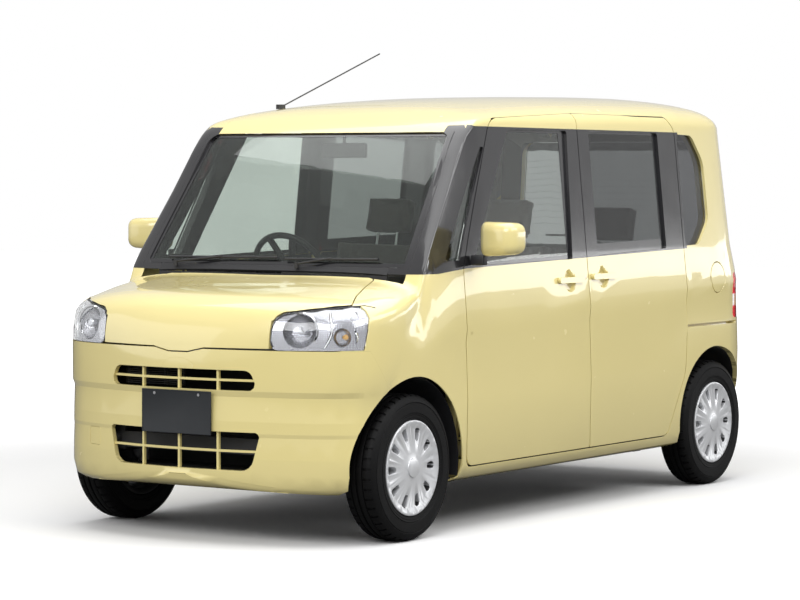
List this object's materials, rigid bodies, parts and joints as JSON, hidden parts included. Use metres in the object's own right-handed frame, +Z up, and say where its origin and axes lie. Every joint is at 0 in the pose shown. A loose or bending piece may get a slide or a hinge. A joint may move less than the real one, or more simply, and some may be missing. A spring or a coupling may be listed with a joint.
{
  "type": "kei car",
  "caption": "Tall one-box small family car with hinged front doors, a sliding side door, a lifting tailgate and steered front wheels",
  "frame": {"origin": "on the ground under the middle of the car's length and width", "axes": "+X to the car's left, +Y to its rear, +Z up; the nose points to -Y"},
  "size_m": [1.9146, 3.395, 1.9404],
  "materials": {
    "body_paint": "gloss pale cream yellow",
    "front_glass": "faint green",
    "dark_glass": "dark privacy tint",
    "lamp_glass": "clear lens",
    "red_glass": "red lens",
    "black_plastic": "fine grain",
    "cabin_plastic": "grained",
    "cabin_fabric": "woven",
    "under_paint": "satin black",
    "bright_steel": "bare",
    "engine_metal": "cast",
    "wheel_silver": "silver",
    "tyre_rubber": "moulded",
    "mirror_face": "silvered",
    "plate_dark": "blank",
    "plate_pale": "blank"
  },
  "bodies": {
    "body": {"floor_pan": "under_paint", "body_side_left": "body_paint", "body_side_right": "body_paint", "roof": "body_paint", "roof_mouldings": "black_plastic", "cowl": "black_plastic", "bulkhead": "under_paint", "front_frame": "under_paint", "arch_liners": "black_plastic", "wing_left": "body_paint", "wing_right": "body_paint", "front_bumper": "body_paint", "front_grilles": "body_paint", "front_plate": "plate_dark", "headlamps": "mirror_face", "headlamp_lenses": "lamp_glass", "rear_bumper": "body_paint", "tail_lamps": "red_glass", "windscreen": "front_glass", "side_glass": "dark_glass", "sliding_door": "body_paint", "sliding_door_glass": "dark_glass", "dashboard": "cabin_plastic", "front_seats": "cabin_fabric", "rear_seats": "cabin_fabric", "interior_mirror": "black_plastic", "wipers": "black_plastic", "antenna": "black_plastic", "engine": "engine_metal", "exhaust": "bright_steel", "fuel_tank": "under_paint", "front_suspension": "under_paint", "rear_suspension": "under_paint"},
    "door_front_left": {"door_front_left": "body_paint", "glass_front_left": "front_glass", "mirror_left": "body_paint"},
    "door_front_right": {"door_front_right": "body_paint", "glass_front_right": "front_glass", "mirror_right": "body_paint"},
    "door_rear_right": {"door_rear_right": "body_paint", "glass_rear_right": "dark_glass"},
    "tailgate": {"tailgate": "body_paint", "tailgate_glass": "dark_glass", "rear_wiper": "black_plastic", "rear_plate": "plate_pale"},
    "bonnet": {"bonnet": "body_paint"},
    "steering_wheel": {"steering_wheel": "black_plastic"},
    "knuckle_left": {"knuckle_left": "bright_steel"},
    "knuckle_right": {"knuckle_right": "bright_steel"},
    "wheel_front_left": {"wheel_front_left": "wheel_silver", "tyre_front_left": "tyre_rubber"},
    "wheel_front_right": {"wheel_front_right": "wheel_silver", "tyre_front_right": "tyre_rubber"},
    "wheel_rear_left": {"wheel_rear_left": "wheel_silver", "tyre_rear_left": "tyre_rubber"},
    "wheel_rear_right": {"wheel_rear_right": "wheel_silver", "tyre_rear_right": "tyre_rubber"},
    "fuel_lid": {"fuel_lid": "body_paint"}
  },
  "joints": [
    {"name": "steer_left", "type": "hinge", "parent": "body", "child": "knuckle_left", "pos_m": [0.59, -1.1655, 0.2], "axis": [-0.1803, 0, 0.9836], "range_deg": [-32, 32]},
    {"name": "steer_right", "type": "hinge", "parent": "body", "child": "knuckle_right", "pos_m": [-0.59, -1.1655, 0.2], "axis": [0.1803, 0, 0.9836], "range_deg": [-33, 33]},
    {"name": "steering_wheel_turn", "type": "hinge", "parent": "body", "child": "steering_wheel", "pos_m": [-0.36, -0.4455, 0.985], "axis": [0, 0.8829, 0.4695], "range_deg": [-528, 528]},
    {"name": "roll_front_left", "type": "hinge", "parent": "knuckle_left", "child": "wheel_front_left", "pos_m": [0.6525, -1.1655, 0.281], "axis": [1, 0, 0], "continuous": true},
    {"name": "roll_front_right", "type": "hinge", "parent": "knuckle_right", "child": "wheel_front_right", "pos_m": [-0.6525, -1.1655, 0.281], "axis": [1, 0, 0], "continuous": true},
    {"name": "roll_rear_left", "type": "hinge", "parent": "body", "child": "wheel_rear_left", "pos_m": [0.6475, 1.3245, 0.281], "axis": [1, 0, 0], "continuous": true},
    {"name": "roll_rear_right", "type": "hinge", "parent": "body", "child": "wheel_rear_right", "pos_m": [-0.6475, 1.3245, 0.281], "axis": [1, 0, 0], "continuous": true},
    {"name": "door_front_left_swing", "type": "hinge", "parent": "body", "child": "door_front_left", "pos_m": [0.7155, -0.7615, 0.6], "axis": [0, 0, -1], "range_deg": [0, 60]},
    {"name": "door_front_right_swing", "type": "hinge", "parent": "body", "child": "door_front_right", "pos_m": [-0.7155, -0.7615, 0.6], "axis": [0, 0, 1], "range_deg": [0, 60]},
    {"name": "door_rear_right_swing", "type": "hinge", "parent": "body", "child": "door_rear_right", "pos_m": [-0.7155, 0.2085, 0.6], "axis": [0, 0, 1], "range_deg": [0, 65]},
    {"name": "tailgate_lift", "type": "hinge", "parent": "body", "child": "tailgate", "pos_m": [0, 1.6135, 1.628], "axis": [1, 0, 0], "range_deg": [0, 80]},
    {"name": "bonnet_lift", "type": "hinge", "parent": "body", "child": "bonnet", "pos_m": [0, -1.1725, 0.966], "axis": [-1, 0, 0], "range_deg": [0, 48]},
    {"name": "fuel_lid_swing", "type": "hinge", "parent": "body", "child": "fuel_lid", "pos_m": [0.7205, 1.26, 0.938], "axis": [0, 0, -1], "range_deg": [0, 80]}
  ],
  "couplings": [
    {"joint": "steer_right", "follows": "steer_left", "ratio": 1},
    {"joint": "steering_wheel_turn", "follows": "steer_left", "ratio": 16.5}
  ]
}
